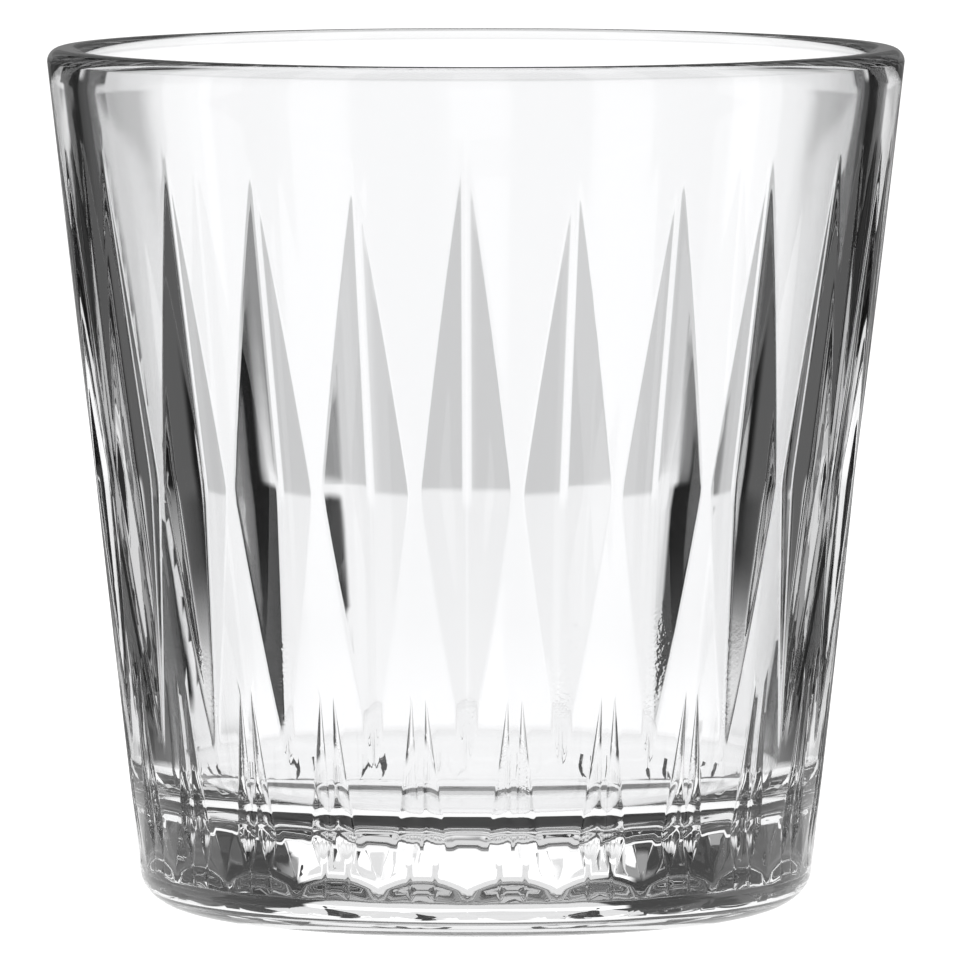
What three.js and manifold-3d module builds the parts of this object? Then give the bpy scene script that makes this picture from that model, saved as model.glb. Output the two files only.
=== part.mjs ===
// Cut-glass whiskey tumbler, pressed in one piece of clear glass.
//
// Millimetres, +Z up. The origin is the centre of the face it stands on.
// A tapered cup with a thick floor carries a ring of tall kite-shaped V cuts,
// and below them a ring of small twin cuts that end in flat facets at the foot.

import * as THREE from 'three';
import { ConvexGeometry } from 'three/addons/geometries/ConvexGeometry.js';
import { mergeVertices } from 'three/addons/utils/BufferGeometryUtils.js';
import Module from 'manifold-3d';

// Overall form
const HEIGHT = 89.5;
const RIM_RADIUS = 44.5;          // widest point of the lip
const LIP_RADIUS = 1.4;           // rounding of both edges of the lip
const LIP_THICKNESS = 3.6;
const SHOULDER_RADIUS = 35.0;     // outside of the wall where the foot rounding starts
const SHOULDER_HEIGHT = 4.1;
const FOOT_RADIUS = 29.6;         // flat face that the glass stands on

// Inside of the cup
const FLOOR_THICKNESS = 11.0;     // at the floor's edge
const FLOOR_DISH = 2.6;           // how far the floor sinks to its middle
const FLOOR_RADIUS = 25.6;        // dished part of the floor
const INNER_CORNER_HEIGHT = 16.8; // where the inner wall meets the corner rounding
const INNER_CORNER_RADIUS = 31.5;

// Ring of cuts
const CUT_COUNT = 24;
const PITCH = (2 * Math.PI) / CUT_COUNT;

// Tall kite cuts
const KITE_TOP = 80.0;
const KITE_FRONT_EXTRA = 3.4;     // the front cut runs a little higher
const KITE_WAIST = 46.0;
const KITE_BOTTOM = 17.5;
const KITE_WIDTH = 9.3;
const KITE_DEPTH = 1.75;

// Round-bottomed twin cuts between the kites
const TWIN_TOP = 25.5;
const TWIN_TOP_OFFSET = 0.72;
const TWIN_WAIST = 10.0;
const TWIN_WAIST_OFFSET = 1.3;
const TWIN_HALF_WIDTH = 1.25;
const TWIN_DEPTH = 0.6;
const TWIN_BOTTOM = 4.5;

// Facets above the foot, flat at the top and curved outwards below
const FACET_TOP = 15.0;
const FACET_DEPTH = 0.345;        // below the wall at shoulder height
const FLARE_HEIGHT = 7.0;         // where a facet starts to curve outwards
const FLARE = 0.35;               // how far it curves out by the shoulder

// Fineness of the faceted solid
const ROUND_SEGMENTS = 120;
const ARC_STEPS = 5;
const CUTTER_REACH = 1.7;         // how far a cutter carries on past the wall

const CLEAR_GLASS = new THREE.MeshStandardMaterial({
  color: 0xf2f5f6,
  roughness: 0.03,
  metalness: 0.0,
  transparent: true,
  opacity: 0.35,
});

const wasm = await Module();
wasm.setup();

// Outside radius of the plain wall at a height.
function wallRadius(z) {
  const top = HEIGHT - LIP_RADIUS;
  const share = (z - SHOULDER_HEIGHT) / (top - SHOULDER_HEIGHT);
  return SHOULDER_RADIUS + (RIM_RADIUS - SHOULDER_RADIUS) * share;
}

// Quarter of an ellipse about a centre, from one angle to another.
function arc(centreR, centreZ, radiusR, radiusZ, from, to) {
  const points = [];
  for (let i = 0; i <= ARC_STEPS; i += 1) {
    const angle = from + ((to - from) * i) / ARC_STEPS;
    const r = centreR + radiusR * Math.cos(angle);
    const z = centreZ + radiusZ * Math.sin(angle);
    points.push(new THREE.Vector2(r, z));
  }
  return points;
}

// Half section of the plain cup, from the axis under the base
// round the outside, over the lip and down to the axis on the floor.
function cupProfile() {
  const quarter = Math.PI / 2;
  const lipZ = HEIGHT - LIP_RADIUS;
  const outerLipR = RIM_RADIUS - LIP_RADIUS;
  const innerLipR = RIM_RADIUS - LIP_THICKNESS + LIP_RADIUS;
  const footWidth = SHOULDER_RADIUS - FOOT_RADIUS;
  const cornerWidth = INNER_CORNER_RADIUS - FLOOR_RADIUS;
  const cornerRise = INNER_CORNER_HEIGHT - FLOOR_THICKNESS;
  const dish = [0.75, 0.5, 0.25, 0].map((share) => new THREE.Vector2(
    FLOOR_RADIUS * share,
    FLOOR_THICKNESS - FLOOR_DISH * (1 - share * share),
  ));
  return [
    new THREE.Vector2(0, 0),
    ...arc(FOOT_RADIUS, SHOULDER_HEIGHT, footWidth, SHOULDER_HEIGHT, -quarter, 0),
    ...arc(outerLipR, lipZ, LIP_RADIUS, LIP_RADIUS, 0, quarter),
    ...arc(innerLipR, lipZ, LIP_RADIUS, LIP_RADIUS, quarter, 2 * quarter),
    ...arc(FLOOR_RADIUS, INNER_CORNER_HEIGHT, cornerWidth, cornerRise, 0, -quarter),
    ...dish,
  ];
}

// Closed geometry to a manifold solid.
function toSolid(geometry) {
  const bare = geometry.clone();
  bare.deleteAttribute('normal');
  bare.deleteAttribute('uv');
  const merged = mergeVertices(bare, 1e-4);
  const corners = merged.index.array;
  const triangles = [];
  for (let i = 0; i < corners.length; i += 3) {
    const [a, b, c] = [corners[i], corners[i + 1], corners[i + 2]];
    if (a !== b && b !== c && c !== a) {
      triangles.push(a, b, c);
    }
  }
  return new wasm.Manifold(new wasm.Mesh({
    numProp: 3,
    vertProperties: new Float32Array(merged.attributes.position.array),
    triVerts: new Uint32Array(triangles),
  }));
}

// Manifold solid to a geometry.
function toGeometry(solid) {
  const mesh = solid.getMesh();
  const geometry = new THREE.BufferGeometry();
  geometry.setAttribute('position', new THREE.BufferAttribute(mesh.vertProperties, 3));
  geometry.setIndex(new THREE.BufferAttribute(mesh.triVerts, 1));
  geometry.computeVertexNormals();
  return geometry;
}

// Plain cup without any cut.
function plainCup() {
  const geometry = new THREE.LatheGeometry(cupProfile(), ROUND_SEGMENTS);
  geometry.rotateX(Math.PI / 2);
  return toSolid(geometry);
}

// Point on the plain wall at the front (-Y) of the cup: x across, z up.
function onWall(x, z) {
  const radius = wallRadius(z);
  return new THREE.Vector3(x, -Math.sqrt(radius * radius - x * x), z);
}

// Inverted pyramid whose tip is the deepest point of a cut, and whose
// four sides leave the wall through the cut's corners.
function pyramidCutter(deepest, corners) {
  const base = corners.map((corner) => (
    deepest.clone().lerp(corner, CUTTER_REACH)
  ));
  return new ConvexGeometry([deepest, ...base]);
}

// Tall V cut, widest and deepest at its waist.
function kiteCutter(top) {
  const deepest = onWall(0, KITE_WAIST);
  deepest.y += KITE_DEPTH;
  return pyramidCutter(deepest, [
    onWall(0, top),
    onWall(KITE_WIDTH / 2, KITE_WAIST),
    onWall(0, KITE_BOTTOM),
    onWall(-KITE_WIDTH / 2, KITE_WAIST),
  ]);
}

// One of a pair of slim round-bottomed cuts; side is 1 or -1.
// Its section at the waist is a parabola, drawn as a few flats that carry on past the wall.
function twinCutter(side) {
  const middle = side * TWIN_WAIST_OFFSET;
  const top = onWall(side * TWIN_TOP_OFFSET, TWIN_TOP);
  const bottom = onWall(middle, TWIN_BOTTOM);
  const section = [-1, -0.6, -0.2, 0.2, 0.6, 1].map((share) => {
    const point = onWall(middle, TWIN_WAIST);
    point.x += TWIN_HALF_WIDTH * share;
    point.y += TWIN_DEPTH * (1 - share * share);
    return point;
  });
  const rim = [section[0].clone(), section[5].clone()];
  rim.forEach((point, i) => {
    point.x += (i === 0 ? -1 : 1) * 0.1;
    point.y -= 0.2;
  });
  const ends = [top, bottom].map((end) => end.clone().setY(end.y - 0.2));
  return new ConvexGeometry([top, bottom, ...section, ...rim, ...ends]);
}

// Distance of a facet's surface from the axis at a height, in the middle of the facet.
function facetRadius(z) {
  const slope = (wallRadius(FACET_TOP) - wallRadius(SHOULDER_HEIGHT) + FACET_DEPTH)
    / (FACET_TOP - SHOULDER_HEIGHT);
  const below = Math.max(FLARE_HEIGHT - z, 0) / (FLARE_HEIGHT - SHOULDER_HEIGHT);
  return wallRadius(FACET_TOP) - slope * (FACET_TOP - z) + FLARE * below * below;
}

// Wedge that takes a facet off the wall just above the foot.
function facetCutter() {
  const halfWidth = 7;
  const outside = -RIM_RADIUS;
  const top = FACET_TOP + 6;
  const bottom = SHOULDER_HEIGHT - 0.5;
  const heights = [top, FLARE_HEIGHT, 6.2, 5.4, 4.6, bottom];
  const points = [];
  for (const x of [-halfWidth, halfWidth]) {
    heights.forEach((z) => points.push(new THREE.Vector3(x, -facetRadius(z), z)));
    points.push(new THREE.Vector3(x, outside, top));
    points.push(new THREE.Vector3(x, outside, bottom));
  }
  return new ConvexGeometry(points);
}

// Every cutter, each turned to its place round the cup.
function allCutters() {
  const cutters = [];
  for (let i = 0; i < CUT_COUNT; i += 1) {
    const top = i === 0 ? KITE_TOP + KITE_FRONT_EXTRA : KITE_TOP;
    cutters.push(kiteCutter(top).rotateZ(i * PITCH));
    for (const cutter of [twinCutter(1), twinCutter(-1), facetCutter()]) {
      cutters.push(cutter.rotateZ((i + 0.5) * PITCH));
    }
  }
  return cutters;
}

function tumblerGlass() {
  const solid = allCutters().reduce(
    (rest, cutter) => rest.subtract(toSolid(cutter)),
    plainCup(),
  );
  const mesh = new THREE.Mesh(toGeometry(solid), CLEAR_GLASS);
  mesh.name = 'tumbler_glass';
  return mesh;
}

const tumbler = new THREE.Group();
tumbler.add(tumblerGlass());

export default tumbler;
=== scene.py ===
"""Cut-glass whiskey tumbler: the clear glass itself, a white studio and the camera."""

import math

import bmesh
import bpy
from mathutils import Matrix, Vector


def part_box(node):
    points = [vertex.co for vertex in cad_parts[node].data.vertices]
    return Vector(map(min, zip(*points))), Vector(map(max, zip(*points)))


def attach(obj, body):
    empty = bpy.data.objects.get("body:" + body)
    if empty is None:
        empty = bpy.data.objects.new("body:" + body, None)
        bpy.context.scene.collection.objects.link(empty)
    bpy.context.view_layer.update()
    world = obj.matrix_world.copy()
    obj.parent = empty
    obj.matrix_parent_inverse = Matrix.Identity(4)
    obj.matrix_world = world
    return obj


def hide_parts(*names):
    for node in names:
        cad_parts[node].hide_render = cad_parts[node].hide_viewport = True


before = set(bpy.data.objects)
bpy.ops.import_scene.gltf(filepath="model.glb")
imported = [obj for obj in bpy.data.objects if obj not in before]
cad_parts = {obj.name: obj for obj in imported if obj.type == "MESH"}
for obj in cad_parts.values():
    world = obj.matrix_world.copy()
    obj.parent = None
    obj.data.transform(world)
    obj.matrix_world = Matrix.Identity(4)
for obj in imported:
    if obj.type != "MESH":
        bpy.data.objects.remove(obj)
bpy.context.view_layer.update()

bl_info = {
    "name": "Cut Glass Tumbler",
    "version": (1, 0, 0),
    "blender": (4, 5, 0),
    "location": "3D View > Sidebar > Tumbler",
    "description": "Models a pressed tumbler with a ring of kite cuts, and its studio",
    "category": "Add Mesh",
}

GLASS_NODE = "tumbler_glass"
LOWEST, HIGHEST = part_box(GLASS_NODE)
MM = 0.001
FRONT = Vector((0.0, -1.0, 0.0))
RIGHT = Vector((1.0, 0.0, 0.0))
UP = Vector((0.0, 0.0, 1.0))

# Fineness of the mesh
COLUMNS = 8  # faces across half of a pitch
WAIST_EDGES = (-2.0, -1.0, 0.0, 1.0, 2.0)  # millimetres from a kite's waist
VALLEY_EDGES = (0.33, 0.66, 1.0)  # shares of the rounded strip beside a kite's valley
TWIN_EDGES = (0.0, 0.35, 0.65, 0.88, 1.0, 1.12)  # shares of a twin cut's half width
VALLEY_PARTING = 0.63  # how fast the two sides of a kite part, going across it
FINE_EDGE = 0.25  # edge rounding of the small cuts and foot facets, beside a kite's
HALF_WALL = 2 * MM  # depth that parts the outside of the wall from its inside
AXIS_WELD = 1e-7
MIRROR_WELD = 1e-6
PITCH_WELD = 2e-6


# Sizes and colours that a user would change


def length(name, description, millimetres):
    """A length property, with its default in millimetres."""
    return bpy.props.FloatProperty(
        name=name,
        description=description,
        default=millimetres * MM,
        precision=5,
        unit="LENGTH",
    )


class TumblerShape(bpy.types.PropertyGroup):
    """Sizes of the plain cup and of its cuts."""

    lip_radius: length("Lip rounding", "Radius of both edges of the lip", 1.4)
    lip_thickness: length("Lip thickness", "Wall thickness at the lip", 3.6)
    shoulder_radius: length("Shoulder radius", "Outside of the wall above the foot", 35.0)
    shoulder_height: length("Shoulder height", "Where the foot rounding starts", 4.1)
    foot_radius: length("Foot radius", "Radius of the flat face it stands on", 29.6)
    floor_height: length("Floor height", "Thickness of the glass floor", 11.0)
    floor_radius: length("Floor radius", "Inside of the corner rounding", 25.6)
    floor_dish: length("Floor dish", "How far the floor sinks to its middle", 2.6)
    corner_height: length("Corner height", "Where the inner wall starts", 16.8)
    corner_radius: length("Corner radius", "Inside of the wall at its foot", 31.5)

    cut_count: bpy.props.IntProperty(
        name="Cuts", description="Kite cuts round the cup", default=24, min=3
    )
    kite_top: length("Kite top", "Height of the upper tip of a kite", 80.0)
    front_extra: length("Front kite extra", "How much higher the front kite runs", 3.4)
    kite_waist: length("Kite waist", "Height where a kite is widest", 46.0)
    kite_bottom: length("Kite bottom", "Height of the lower tip of a kite", 17.5)
    kite_width: length("Kite width", "Width of a kite at its waist", 9.3)
    kite_depth: length("Kite depth", "Depth of a kite at its waist", 1.75)
    valley_rounding: length("Valley rounding", "Softness of a kite's valley", 0.30)
    waist_rounding: length("Waist rounding", "Softness of the waist ridge", 0.20)
    edge_rounding: length("Edge rounding", "Fire polish along the edges of a cut", 0.10)

    twin_top: length("Twin top", "Height of the upper tips of the twin cuts", 25.5)
    twin_top_offset: length("Twin top offset", "Tip from the pair's middle", 0.72)
    twin_waist: length("Twin waist", "Height where a twin cut is widest", 10.0)
    twin_waist_offset: length("Twin waist offset", "Waist from the pair's middle", 1.3)
    twin_half_width: length("Twin half width", "Half of a twin cut's width", 1.25)
    twin_depth: length("Twin depth", "Depth of a twin cut at its waist", 0.6)
    twin_bottom: length("Twin bottom", "Height of the lower tips of the twins", 4.5)

    facet_top: length("Facet top", "Height of a foot facet's crown", 15.0)
    facet_depth: length("Facet depth", "Depth of a facet at the shoulder", 0.345)
    flare_height: length("Flare height", "Where a facet starts to curve outwards", 7.8)
    flare: length("Flare", "How far a facet curves out by the shoulder", 0.57)
    flare_arch: length("Flare arch", "How much lower the flare starts at the sides", 2.2)


class TumblerGlass(bpy.types.PropertyGroup):
    """Look of the glass."""

    tint: bpy.props.FloatVectorProperty(
        name="Tint",
        description="What the glass lets through",
        subtype="COLOR",
        size=3,
        default=(0.986, 0.988, 0.993),
        min=0.0,
        max=1.0,
    )
    index: bpy.props.FloatProperty(
        name="Refractive index", description="Of soda-lime glass", default=1.52
    )


class TumblerStage(bpy.types.PropertyGroup):
    """Camera, floor and light."""

    azimuth: bpy.props.FloatProperty(
        name="Camera azimuth",
        description="How far the camera stands to the right of the front",
        default=math.radians(1.4),
        subtype="ANGLE",
    )
    elevation: bpy.props.FloatProperty(
        name="Camera elevation",
        description="Angle of the camera above the horizontal",
        default=math.radians(4.58),
        subtype="ANGLE",
    )
    distance: length("Camera distance", "From the middle of the tumbler", 1380.0)
    lens: bpy.props.FloatProperty(
        name="Lens", description="Focal length in millimetres", default=497.3
    )
    aim_right: length("Aim right", "Aim of the camera beside the tumbler's axis", 0.43)
    aim_down: length("Aim down", "Aim of the camera below mid height", 0.33)
    floor_radius: length("Floor radius", "Radius of the pale floor", 800.0)


# Shape of the glass


class Facet:
    """A flat side of a cut: a plane, met as a radius round the cup."""

    def __init__(self, point, normal):
        self.point = point
        self.normal = normal

    @classmethod
    def through(cls, a, b, c):
        """The facet through three points."""
        normal = (b - a).cross(c - a).normalized()
        return cls(a, -normal if normal.dot(FRONT) < 0 else normal)

    def radius(self, out, z):
        """Distance from the axis where the facet is met, going along out at height z."""
        rise = self.normal.dot(self.point) - self.normal.z * z
        return rise / self.normal.dot(out)

    def turned(self, angle):
        """The same facet, turned round the cup."""
        turn = Matrix.Rotation(angle, 3, "Z")
        return Facet(turn @ self.point, turn @ self.normal)


class Groove:
    """A round-bottomed cut, widest at its waist and tapered to a tip at both ends."""

    tip_share = 0.02  # of the way from a tip to the waist, where the cut begins

    def __init__(self, top, waist, bottom, half_width, depth):
        self.top = top
        self.waist = waist
        self.bottom = bottom
        self.half_width = half_width
        self.depth = depth

    def turned(self, angle):
        """The same groove, turned round the cup."""
        turn = Matrix.Rotation(angle, 3, "Z")
        ends = (turn @ point for point in (self.top, self.waist, self.bottom))
        return Groove(*ends, self.half_width, self.depth)

    def sunk(self, out, z, radius):
        """Radius of the groove, going along out at height z, on a wall of the radius given."""
        end = self.top if z > self.waist.z else self.bottom
        share = (z - end.z) / (self.waist.z - end.z)
        if share < self.tip_share:
            return radius + self.depth  # outside the wall, so nothing is cut here
        middle = end.lerp(self.waist, share)
        aside = (out * radius - middle).cross(UP).length / (self.half_width * share)
        return radius - self.depth * share * (1.0 - aside * aside)

    def outline(self, share):
        """Planes along the groove, at a share of its half width on both sides."""
        planes = []
        across = UP.cross(self.waist).normalized() * self.half_width
        for side in (-share, share) if share else (0.0,):
            for end in (self.top, self.bottom):
                along = self.waist + across * side - end
                radial = Vector((self.waist.x, self.waist.y, 0.0))
                low, high = sorted((end.z, self.waist.z))
                planes.append((end, along.cross(radial).normalized(), low, high))
        return planes


def soft_max(a, b, blend):
    """The larger of two radii, rounded where they are within blend of each other."""
    near = max(blend - abs(a - b), 0.0) / blend
    return max(a, b) + near * near * blend / 4


def soft_min(a, b, blend):
    """The smaller of two radii, rounded where they are within blend of each other."""
    return -soft_max(-a, -b, blend)


class Cup:
    """The plain cup and its cuts, as formulas worked out from the shape's sizes."""

    def __init__(self, shape):
        self.shape = shape
        self.height = HIGHEST.z
        self.rim_radius = HIGHEST.x
        self.pitch = math.tau / shape.cut_count

    def wall_radius(self, z):
        """Outside radius of the plain wall."""
        s = self.shape
        share = (z - s.shoulder_height) / (
            self.height - s.lip_radius - s.shoulder_height
        )
        return s.shoulder_radius + (self.rim_radius - s.shoulder_radius) * share

    def on_wall(self, x, z, sink=0.0):
        """Point at the front of the plain wall, sunk into the glass by sink."""
        radius = self.wall_radius(z)
        return Vector((x, sink - math.sqrt(radius * radius - x * x), z))

    def kite(self, extra):
        """The four facets of a kite cut at the front: upper pair, then lower pair."""
        s = self.shape
        deepest = self.on_wall(0.0, s.kite_waist, s.kite_depth)
        tips = (self.on_wall(0.0, s.kite_top + extra), self.on_wall(0.0, s.kite_bottom))
        sides = [self.on_wall(x, s.kite_waist) for x in (s.kite_width / 2, -s.kite_width / 2)]
        return [Facet.through(deepest, tip, side) for tip in tips for side in sides]

    def groove(self, side):
        """One twin cut of the pair at the front, on one side of its middle."""
        s = self.shape
        middle = side * s.twin_waist_offset
        return Groove(
            self.on_wall(side * s.twin_top_offset, s.twin_top),
            self.on_wall(middle, s.twin_waist),
            self.on_wall(middle, s.twin_bottom),
            s.twin_half_width,
            s.twin_depth,
        )

    def foot_facet(self):
        """The facet above the foot, at the front, before it is curved outwards."""
        s = self.shape
        crown = self.on_wall(0.0, s.facet_top)
        low = self.on_wall(0.0, s.shoulder_height, s.facet_depth)
        return Facet.through(crown, low, crown + RIGHT * s.kite_width)

    def profile(self):
        """Corners and arcs of the half section, from the axis under the base
        round the outside, over the lip and down to the axis on the floor."""
        s = self.shape
        lip_z = self.height - s.lip_radius
        outer_lip = self.rim_radius - s.lip_radius
        inner_lip = self.rim_radius - s.lip_thickness + s.lip_radius
        foot_width = s.shoulder_radius - s.foot_radius
        corner_width = s.corner_radius - s.floor_radius
        corner_rise = s.corner_height - s.floor_height
        above_facets = (self.wall_radius(s.facet_top), s.facet_top)
        rows = [
            line((0.0, 0.0), (s.foot_radius, 0.0), steps=6),
            arc(
                (s.foot_radius, s.shoulder_height), foot_width, s.shoulder_height, -90, 0, steps=12
            ),
            line((s.shoulder_radius, s.shoulder_height), above_facets, steps=18),
            line(above_facets, (self.rim_radius, lip_z), steps=30),
            arc((outer_lip, lip_z), s.lip_radius, s.lip_radius, 0, 90, steps=8),
            arc((inner_lip, lip_z), s.lip_radius, s.lip_radius, 90, 180, steps=8),
            line(
                (self.rim_radius - s.lip_thickness, lip_z),
                (s.corner_radius, s.corner_height),
                steps=8,
            ),
            arc((s.floor_radius, s.corner_height), corner_width, corner_rise, 0, -90, steps=14),
            bowl(s.floor_radius, s.floor_height, s.floor_dish, steps=14),
        ]
        points = [rows[0][0]]
        for row in rows:
            joined = (Vector(row[0]) - Vector(points[-1])).length < 1e-9
            points += row[1:] if joined else row
        return points


def line(start, end, steps):
    """Points along a straight stretch of the half section."""
    return [
        (
            start[0] + (end[0] - start[0]) * i / steps,
            start[1] + (end[1] - start[1]) * i / steps,
        )
        for i in range(steps + 1)
    ]


def bowl(radius, height, depth, steps):
    """Points of a shallow bowl, from its edge to its middle."""
    shares = [1 - i / steps for i in range(steps + 1)]
    return [(radius * share, height - depth * (1 - share * share)) for share in shares]


def arc(centre, radius_r, radius_z, start, end, steps):
    """Points along an elliptic stretch of the half section, angles in degrees."""
    angles = [math.radians(start + (end - start) * i / steps) for i in range(steps + 1)]
    return [
        (centre[0] + radius_r * math.cos(a), centre[1] + radius_z * math.sin(a))
        for a in angles
    ]


class Slice:
    """One pitch of the glass at the front: half of it is modelled, then mirrored."""

    def __init__(self, shape, mesh, extra):
        self.cup = Cup(shape)
        self.shape = shape
        self.mesh = mesh
        self.extra = extra
        half = self.cup.pitch / 2
        self.kite = self.cup.kite(extra)
        self.twins = [self.cup.groove(side).turned(half) for side in (-1, 1)]
        self.facet = self.cup.foot_facet().turned(half)
        self.facet_middle = Matrix.Rotation(half, 3, "Z") @ FRONT

    def spin_half_pitch(self):
        """Spins the section through half of a pitch."""
        points = [Vector((0.0, -r, z)) for r, z in self.cup.profile()]
        verts = [self.mesh.verts.new(point) for point in points]
        edges = [self.mesh.edges.new(pair) for pair in zip(verts, verts[1:])]
        bmesh.ops.spin(
            self.mesh,
            geom=verts + edges,
            axis=UP,
            angle=self.cup.pitch / 2,
            steps=COLUMNS,
        )
        bmesh.ops.remove_doubles(self.mesh, verts=self.mesh.verts, dist=AXIS_WELD)

    def outside(self, low, high):
        """Faces of the outer wall between two heights, with their edges and corners."""
        faces = []
        for face in self.mesh.faces:
            centre = face.calc_center_median()
            radius = math.hypot(centre.x, centre.y)
            inside = radius < self.cup.wall_radius(centre.z) - HALF_WALL
            if low < centre.z < high and not (inside and centre.z > self.shape.shoulder_height):
                faces.append(face)
        edges = {edge for face in faces for edge in face.edges}
        verts = {vert for face in faces for vert in face.verts}
        return [*faces, *edges, *verts]

    def score(self, point, normal, low, high):
        """Runs an edge along the wall where a plane meets it."""
        bmesh.ops.bisect_plane(
            self.mesh,
            geom=self.outside(low, high),
            dist=1e-6,
            plane_co=point,
            plane_no=normal,
        )

    def score_facet(self, facet, low, high, spread, steps=2):
        """Edges along a facet's outline, and on both sides of it where it is rounded."""
        for i in range(-steps, steps + 1):
            shift = FRONT * (spread * i / steps)
            self.score(facet.point + shift, facet.normal, low, high)

    def score_cuts(self):
        """Edges where the cuts begin, turn and end, run on a little past their tips."""
        s = self.shape
        top = s.kite_top + self.extra
        for offset in WAIST_EDGES:
            height = s.kite_waist + offset * MM
            self.score(UP * height, UP, s.kite_bottom - 4 * MM, s.kite_top + 6 * MM)
        upper, _, lower, _ = self.kite
        spread = s.edge_rounding
        self.score_facet(upper, s.kite_waist, top + 3 * MM, spread)
        self.score_facet(lower, s.kite_bottom - 3 * MM, s.kite_waist, spread)
        for share in VALLEY_EDGES:
            across = RIGHT * (s.valley_rounding / VALLEY_PARTING * share)
            self.score(across, RIGHT, s.kite_bottom, top)
        for share in TWIN_EDGES:
            for plane in self.near_twin().outline(share):
                self.score(*plane)
        self.score_facet(self.facet, 1.2 * MM, s.facet_top, spread * FINE_EDGE, steps=1)

    def near_twin(self):
        """The twin cut that lies in the modelled half of the pitch."""
        return min(self.twins, key=lambda twin: abs(twin.waist.x))

    def facet_radius(self, out, z, radius):
        """Radius of the foot facet, flat at its top and curved outwards below in an arch."""
        s = self.shape
        aside = (out - self.facet_middle * out.dot(self.facet_middle)).length * radius
        start = s.flare_height - s.flare_arch * (aside * 2 / s.kite_width) ** 2
        below = max(start - z, 0.0) / (s.flare_height - s.shoulder_height)
        return self.facet.radius(out, z) + s.flare * below * below

    def cut_radius(self, out, z, wall):
        """Radius of the cut cup where the plain one has the radius given."""
        s = self.shape
        sides = [facet.radius(out, z) for facet in self.kite]
        upper = soft_max(*sides[:2], s.valley_rounding)
        lower = soft_max(*sides[2:], s.valley_rounding)
        radius = soft_min(wall, soft_max(upper, lower, s.waist_rounding), s.edge_rounding)
        fine = s.edge_rounding * FINE_EDGE
        for twin in self.twins:
            radius = soft_min(radius, twin.sunk(out, z, wall), fine)
        return soft_min(radius, self.facet_radius(out, z, radius), fine)

    def press_cuts(self):
        """Sinks the wall into the cuts."""
        for vert in self.mesh.verts:
            radius = math.hypot(vert.co.x, vert.co.y)
            if radius < self.shape.floor_radius:
                continue
            out = Vector((vert.co.x, vert.co.y, 0.0)) / radius
            vert.co = out * self.cut_radius(out, vert.co.z, radius) + UP * vert.co.z

    def build(self):
        """Makes the half pitch and its mirror image."""
        self.spin_half_pitch()
        self.score_cuts()
        self.press_cuts()
        bmesh.ops.mirror(
            self.mesh, geom=everything(self.mesh), axis="X", merge_dist=MIRROR_WELD
        )


def everything(mesh):
    """All corners, edges and faces of a mesh."""
    return [*mesh.verts, *mesh.edges, *mesh.faces]


def glass_mesh(shape):
    """The whole glass: the plain pitch turned round the cup, then the front pitch."""
    pitch = math.tau / shape.cut_count
    mesh = bmesh.new()
    Slice(shape, mesh, 0.0).build()
    bmesh.ops.rotate(mesh, verts=mesh.verts, matrix=Matrix.Rotation(pitch, 3, "Z"))
    bmesh.ops.spin(
        mesh,
        geom=everything(mesh),
        axis=UP,
        angle=pitch * (shape.cut_count - 2),
        steps=shape.cut_count - 2,
        use_duplicate=True,
    )
    front = bmesh.new()
    Slice(shape, front, shape.front_extra).build()
    part = bpy.data.meshes.new("front_pitch")
    front.to_mesh(part)
    front.free()
    mesh.from_mesh(part)
    bpy.data.meshes.remove(part)
    bmesh.ops.remove_doubles(mesh, verts=mesh.verts, dist=PITCH_WELD)
    bmesh.ops.recalc_face_normals(mesh, faces=mesh.faces)
    for face in mesh.faces:
        face.smooth = True
    data = bpy.data.meshes.new("tumbler")
    mesh.to_mesh(data)
    mesh.free()
    return data


# Materials

RIPPLE_HEIGHT = 0.004  # millimetres
PIT_HEIGHT = 0.022
PITTED_DEPTHS = (0.15, 2.2, 0.2)  # millimetres below the plain wall, and the blend
PITTED_HEIGHTS = (14, 33, 6)  # millimetres above the base, and the blend
DEEPEST_CUT = 2.6 * MM  # with some room
SMOOTH_ABOVE = 12.0 * MM  # height above the base
CROSSED_CUP = 2.5  # passages through glass after which a ray has crossed the cup


class Tree:
    """A node tree, with one method that adds any node."""

    def __init__(self, tree):
        self.tree = tree
        tree.nodes.clear()

    def add(self, kind, settings=None, **sockets):
        """Adds a node, sets it up, then fills its sockets with values or links."""
        node = self.tree.nodes.new(kind)
        for name, value in (settings or {}).items():
            setattr(node, name, value)
        for name, value in sockets.items():
            key = int(name[1:]) if name[1:].isdigit() else name.replace("_", " ")
            socket = node.inputs[key]
            if isinstance(value, Value):
                self.tree.links.new(value.socket, socket)
            elif isinstance(value, bpy.types.NodeSocket):
                self.tree.links.new(value, socket)
            else:
                socket.default_value = value
        return node

    def value(self, kind, output=0, settings=None, **sockets):
        """Adds a node and wraps one of its outputs."""
        return Value(self, self.add(kind, settings, **sockets).outputs[output])


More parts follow.
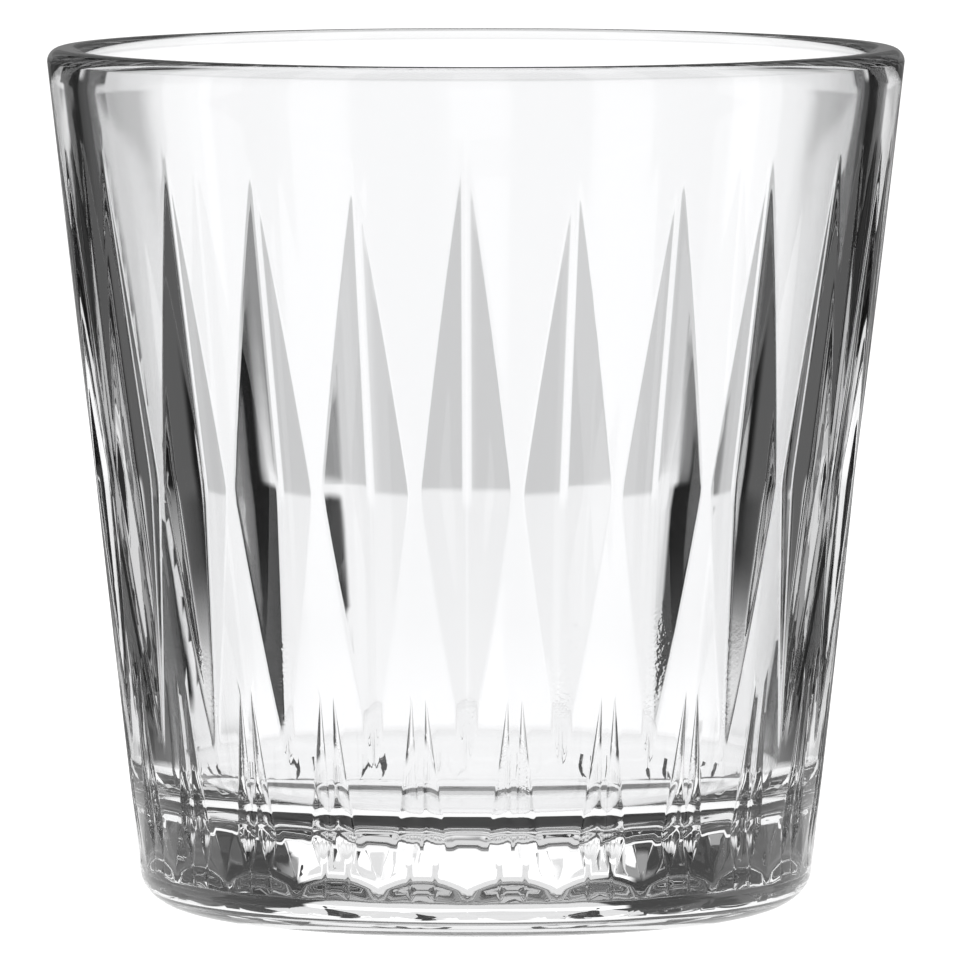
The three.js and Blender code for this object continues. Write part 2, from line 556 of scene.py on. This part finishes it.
class Value:
    """A socket that can be used in sums."""

    def __init__(self, tree, socket):
        self.tree = tree
        self.socket = socket

    def math(self, operation, *others):
        """A Math node on this value and the others."""
        sockets = {f"i{n + 1}": other for n, other in enumerate(others)}
        return self.tree.value(
            "ShaderNodeMath", 0, {"operation": operation}, i0=self, **sockets
        )

    def __add__(self, other):
        return self.math("ADD", other)

    __radd__ = __add__

    def __sub__(self, other):
        return self.math("SUBTRACT", other)

    def __rsub__(self, other):
        return self.math("MULTIPLY_ADD", -1.0, other)

    def __mul__(self, other):
        return self.math("MULTIPLY", other)

    __rmul__ = __mul__

    def __truediv__(self, other):
        return self.math("DIVIDE", other)

    def step(self, low, high):
        """Smooth step from 0 at low to 1 at high."""
        return self.tree.value(
            "ShaderNodeMapRange",
            0,
            {"interpolation_type": "SMOOTHSTEP"},
            i0=self,
            i1=low,
            i2=high,
        )

    def window(self, low, high, blend):
        """1 between low and high, falling to 0 over blend at both ends."""
        half = blend / 2
        rise = self.step(low - half, low + half)
        return rise * (1.0 - self.step(high - half, high + half))


class Wall:
    """The plain outer wall, as sums that a shader works out."""

    def __init__(self, tree, place):
        cup = Cup(bpy.context.scene.tumbler_shape)
        parts = tree.add("ShaderNodeSeparateXYZ", None, Vector=place)
        self.x, self.y, self.z = (Value(tree, parts.outputs[i]) for i in range(3))
        self.foot = cup.wall_radius(0.0)
        self.slope = cup.wall_radius(1.0) - self.foot
        self.out = (self.x * self.x + self.y * self.y).math("SQRT")

    def sunk(self):
        """How far a point lies inside the plain wall."""
        return self.z * self.slope + self.foot - self.out


def in_pitted_cuts(tree, place):
    """1 in the cuts, over the heights where they are pitted, 0 elsewhere."""
    wall = Wall(tree, place)
    deep = (wall.sunk() / MM).window(*PITTED_DEPTHS)
    return deep * (wall.z / MM).window(*PITTED_HEIGHTS)


def smoothed_far_wall(tree, place, normal):
    """Normal of the plain wall for rays that have crossed the cup, of the cuts for others.

    The far cuts would otherwise draw a second, fainter ring between the near ones.
    A short cut for the looks, not how glass behaves."""
    wall = Wall(tree, place)
    outer = wall.sunk().math("LESS_THAN", DEEPEST_CUT)
    high = wall.z.math("GREATER_THAN", SMOOTH_ABOVE)
    path = tree.add("ShaderNodeLightPath")
    passages = Value(tree, path.outputs["Transmission Depth"])
    crossed = passages.math("GREATER_THAN", CROSSED_CUP)
    facing = 1.0 - Value(tree, tree.add("ShaderNodeNewGeometry").outputs["Backfacing"]) * 2.0
    plain = tree.value(
        "ShaderNodeCombineXYZ", 0, None, i0=wall.x, i1=wall.y, i2=wall.out * -wall.slope
    )
    plain = tree.value(
        "ShaderNodeVectorMath", 0, {"operation": "SCALE"}, i0=plain, Scale=facing
    )
    plain = tree.value("ShaderNodeVectorMath", 0, {"operation": "NORMALIZE"}, i0=plain)
    mix = tree.add(
        "ShaderNodeMix",
        {"data_type": "VECTOR"},
        i0=outer * high * crossed,
        i4=normal,
        i5=plain,
    )
    return Value(tree, mix.outputs[1])


def clear_glass(look):
    """Clear soda-lime glass with faint mould ripple, and pits low in the cuts."""
    material = bpy.data.materials.new("clear_glass")
    material.use_nodes = True
    tree = Tree(material.node_tree)
    place = tree.add("ShaderNodeTexCoord").outputs["Object"]
    ripple = tree.value(
        "ShaderNodeTexNoise", 0, None, Vector=place, Scale=180.0, Detail=2.0
    )
    pits = tree.value("ShaderNodeTexNoise", 0, None, Vector=place, Scale=2600.0, Detail=1.0)
    patches = tree.value("ShaderNodeTexNoise", 0, None, Vector=place, Scale=70.0, Detail=3.0)
    rough = in_pitted_cuts(tree, place) * patches.step(0.50, 0.60)
    relief = ripple * RIPPLE_HEIGHT + pits * rough * PIT_HEIGHT
    bump = tree.value("ShaderNodeBump", 0, None, Strength=1.0, Distance=MM, Height=relief)
    shader = tree.add(
        "ShaderNodeBsdfPrincipled",
        None,
        Base_Color=(*look.tint, 1.0),
        Roughness=0.0,
        IOR=look.index,
        Transmission_Weight=1.0,
        Normal=smoothed_far_wall(tree, place, bump),
    )
    tree.add("ShaderNodeOutputMaterial", None, Surface=shader.outputs[0])
    return material


def pale_floor(foot_radius):
    """White floor. Seen through the glass it is a painted pool of light, with painted shadow under
    the foot's edge.

    The painted shadow, a dark ring, shows after three bounces, or five and more, so a view from
    above into the cup stays clear. The painted pool of light fades with bounces, and ends in the
    studio's light.
    Both are short cuts for the looks, not how a floor behaves."""
    material = bpy.data.materials.new("pale_floor")
    material.use_nodes = True
    tree = Tree(material.node_tree)
    place = tree.add("ShaderNodeTexCoord").outputs["Object"]
    out = tree.value("ShaderNodeVectorMath", 1, {"operation": "LENGTH"}, i0=place) / MM
    foot = foot_radius / MM
    path = tree.add("ShaderNodeLightPath")
    bounces = Value(tree, path.outputs["Ray Depth"])
    # Painted shadow: the floor goes dark in a ring under the foot's edge, for rays through the
    # glass.
    ring = out.step(foot - 20, foot - 16) * (1.0 - out.step(foot, foot + 0.5))
    ring = ring * (bounces.window(2.5, 3.5, 0.2) + bounces.step(4.4, 4.6))
    faded = bounces.step(3.5, 9) * 0.85
    # Painted pool of light round the glass, with the painted shadow ring taken out and dimmed with
    # bounces.
    brightness = (1.0 - ring) * (1.0 - faded) * 1.05
    pool = tree.add("ShaderNodeEmission", None, Color=brightness)
    beyond = tree.add("ShaderNodeBsdfTransparent")
    through = tree.add(
        "ShaderNodeMixShader",
        None,
        i0=out.step(80, 140),
        i1=pool.outputs[0],
        i2=beyond.outputs[0],
    )
    white = tree.add("ShaderNodeEmission", None, Strength=1.25)
    seen = Value(tree, path.outputs["Is Camera Ray"])
    shader = tree.add(
        "ShaderNodeMixShader", None, i0=seen, i1=through.outputs[0], i2=white.outputs[0]
    )
    tree.add("ShaderNodeOutputMaterial", None, Surface=shader.outputs[0])
    return material


# Panels of the studio, each laid over the ones before it: degrees to the side, degrees
# above the horizontal, both as low, high and blend, and brightness.
SIDE_PANELS = (  # on both sides
    ((38, 76, 5), (-18, 0, 4), 0.10),
    ((17, 24, 3), (-7, 0, 2), 0.28),
)
BACK_PANELS = (  # behind the glass, seen from the front
    ((-18, 20, 1.2), (-50, 32, 4), 0.70),
    ((-18.5, 18.5, 1.2), (-9.5, -6, 1), 1.0),
    ((-23, 21, 2), (-7.3, -5.8, 1), 1.0),
    ((-10.5, 8.5, 2.5), (-7, 0, 2), 1.1),
    ((-20, 20, 1.5), (0, 5, 1), 1.1),
    ((-14, 12, 3), (-38, -12, 3), 0.95),
    ((-14, 12, 3), (-13, -9, 2), 0.88),
    ((-60, 40, 4), (34, 52, 6), 0.9),
)
ROOM_LIGHT = 0.012
CEILING_LIGHT = 0.5
STUDIO_STRENGTH = 1.42


def laid_over(light, mask, brightness):
    """The light with a panel of the brightness given laid over it, where the mask is 1."""
    return light + (brightness - light) * mask


def spokes(azimuth, elevation):
    """Mask and brightness of the seven upright panels round the sides and front.

    The diagonal ones are dim except low down, and the front one is dim low down."""
    aside = azimuth.math("ABSOLUTE")
    mask = (azimuth * math.radians(8)).math("COSINE").step(0.15, 0.40)
    mask = mask * aside.step(28, 34) * elevation.window(-70, 30, 4)
    diagonal = 1.0 - (azimuth * math.radians(4)).math("COSINE").step(-0.3, 0.3)
    low = 1.0 - elevation.step(-13, -10)
    front = aside.step(155, 160)
    return mask, 0.85 - diagonal * (1.0 - low) * 0.78 - front * low * 0.7


def studio_light(world):
    """White panels in a dim room, by direction: azimuth and elevation in degrees.

    Light that has bounced often in the glass is dimmed, and so is light off a mirror
    reflection. This deepens the contrast, and isn't how glass behaves."""
    tree = Tree(world.node_tree)
    direction = tree.add("ShaderNodeTexCoord").outputs["Generated"]
    parts = tree.add("ShaderNodeSeparateXYZ", None, Vector=direction)
    x, y, z = (Value(tree, parts.outputs[i]) for i in range(3))
    azimuth = x.math("ARCTAN2", y) * math.degrees(1)
    elevation = z.math("ARCSINE") * math.degrees(1)
    light = Value(tree, tree.add("ShaderNodeValue").outputs[0])
    light.socket.default_value = ROOM_LIGHT
    light = laid_over(light, *spokes(azimuth, elevation))
    for direction, panels in ((azimuth.math("ABSOLUTE"), SIDE_PANELS), (azimuth, BACK_PANELS)):
        for sides, heights, brightness in panels:
            mask = direction.window(*sides) * elevation.window(*heights)
            light = laid_over(light, mask, brightness)
    light = laid_over(light, elevation.step(53, 60), CEILING_LIGHT)
    path = tree.add("ShaderNodeLightPath")
    bounces, mirrored, seen = (
        Value(tree, path.outputs[name])
        for name in ("Ray Depth", "Is Reflection Ray", "Is Camera Ray")
    )
    # A low glow behind the glass, only for light that has bounced twice or less.
    glow = azimuth.window(-36, 36, 12) * elevation.window(-9, 9, 3)
    glow = glow * (1.0 - bounces.step(2.2, 2.8))
    light = laid_over(light, glow, light.math("MAXIMUM", 0.42))
    light = light * (1.0 - bounces.step(4, 9) * 0.75) * (1.0 - mirrored * 0.8)
    light = laid_over(light, seen, 1.0)
    background = tree.add("ShaderNodeBackground", None, Strength=light * STUDIO_STRENGTH)
    tree.add("ShaderNodeOutputWorld", None, Surface=background.outputs[0])


# Operators


class TUMBLER_OT_glass(bpy.types.Operator):
    """Models the tumbler's glass and gives it its material"""

    bl_idname = "tumbler.glass"
    bl_label = "Make the glass"

    def execute(self, context):
        data = glass_mesh(context.scene.tumbler_shape)
        glass = bpy.data.objects.new("tumbler", data)
        context.scene.collection.objects.link(glass)
        data.materials.append(clear_glass(context.scene.tumbler_glass))
        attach(glass, "root")
        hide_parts(GLASS_NODE)
        return {"FINISHED"}


class TUMBLER_OT_stage(bpy.types.Operator):
    """Makes the floor, the light and the camera"""

    bl_idname = "tumbler.stage"
    bl_label = "Make the stage"

    def execute(self, context):
        scene = context.scene
        self.add_floor(scene)
        scene.world = bpy.data.worlds.new("studio")
        scene.world.use_nodes = True
        studio_light(scene.world)
        self.add_camera(scene)
        self.set_light_paths(scene)
        return {"FINISHED"}

    def add_floor(self, scene):
        """A round pale floor just under the glass."""
        mesh = bmesh.new()
        bmesh.ops.create_circle(
            mesh,
            cap_ends=True,
            segments=96,
            radius=scene.tumbler_stage.floor_radius,
            matrix=Matrix.Translation(UP * (LOWEST.z - 0.1 * MM)),
        )
        data = bpy.data.meshes.new("floor")
        mesh.to_mesh(data)
        mesh.free()
        data.materials.append(pale_floor(scene.tumbler_shape.foot_radius))
        floor = bpy.data.objects.new("floor", data)
        scene.collection.objects.link(floor)

    def add_camera(self, scene):
        """A long lens, a little above the horizontal."""
        stage = scene.tumbler_stage
        data = bpy.data.cameras.new("camera")
        data.lens = stage.lens
        data.clip_end = 10.0
        camera = bpy.data.objects.new("camera", data)
        scene.collection.objects.link(camera)
        turn = Matrix.Rotation(stage.azimuth, 3, "Z")
        tilt = Matrix.Rotation(-stage.elevation, 3, "X")
        back = turn @ tilt @ FRONT
        right = turn @ RIGHT
        aim = (LOWEST + HIGHEST) / 2 + right * stage.aim_right - UP * stage.aim_down
        camera.location = aim + back * stage.distance
        camera.rotation_mode = "QUATERNION"
        camera.rotation_quaternion = (-back).to_track_quat("-Z", "Y")
        scene.camera = camera

    def set_light_paths(self, scene):
        """Enough bounces for light to find its way through the cuts, and plain colours."""
        cycles = scene.cycles
        cycles.max_bounces = 32
        cycles.transmission_bounces = 32
        cycles.glossy_bounces = 16
        cycles.sample_clamp_indirect = 10.0
        scene.view_settings.view_transform = "Standard"


class TUMBLER_PT_panel(bpy.types.Panel):
    """Lists the steps in the sidebar"""

    bl_idname = "TUMBLER_PT_panel"
    bl_label = "Tumbler"
    bl_space_type = "VIEW_3D"
    bl_region_type = "UI"
    bl_category = "Tumbler"

    def draw(self, context):
        for operator in (TUMBLER_OT_glass, TUMBLER_OT_stage):
            self.layout.operator(operator.bl_idname)


CLASSES = (
    TumblerShape,
    TumblerGlass,
    TumblerStage,
    TUMBLER_OT_glass,
    TUMBLER_OT_stage,
    TUMBLER_PT_panel,
)


def register():
    """Adds the classes and the scene's settings."""
    for cls in CLASSES:
        bpy.utils.register_class(cls)
    bpy.types.Scene.tumbler_shape = bpy.props.PointerProperty(type=TumblerShape)
    bpy.types.Scene.tumbler_glass = bpy.props.PointerProperty(type=TumblerGlass)
    bpy.types.Scene.tumbler_stage = bpy.props.PointerProperty(type=TumblerStage)


def unregister():
    """Takes them away again."""
    del bpy.types.Scene.tumbler_shape
    del bpy.types.Scene.tumbler_glass
    del bpy.types.Scene.tumbler_stage
    for cls in reversed(CLASSES):
        bpy.utils.unregister_class(cls)


def main():
    """Makes the whole scene."""
    register()
    bpy.ops.tumbler.glass()
    bpy.ops.tumbler.stage()


if __name__ == "__main__":
    main()
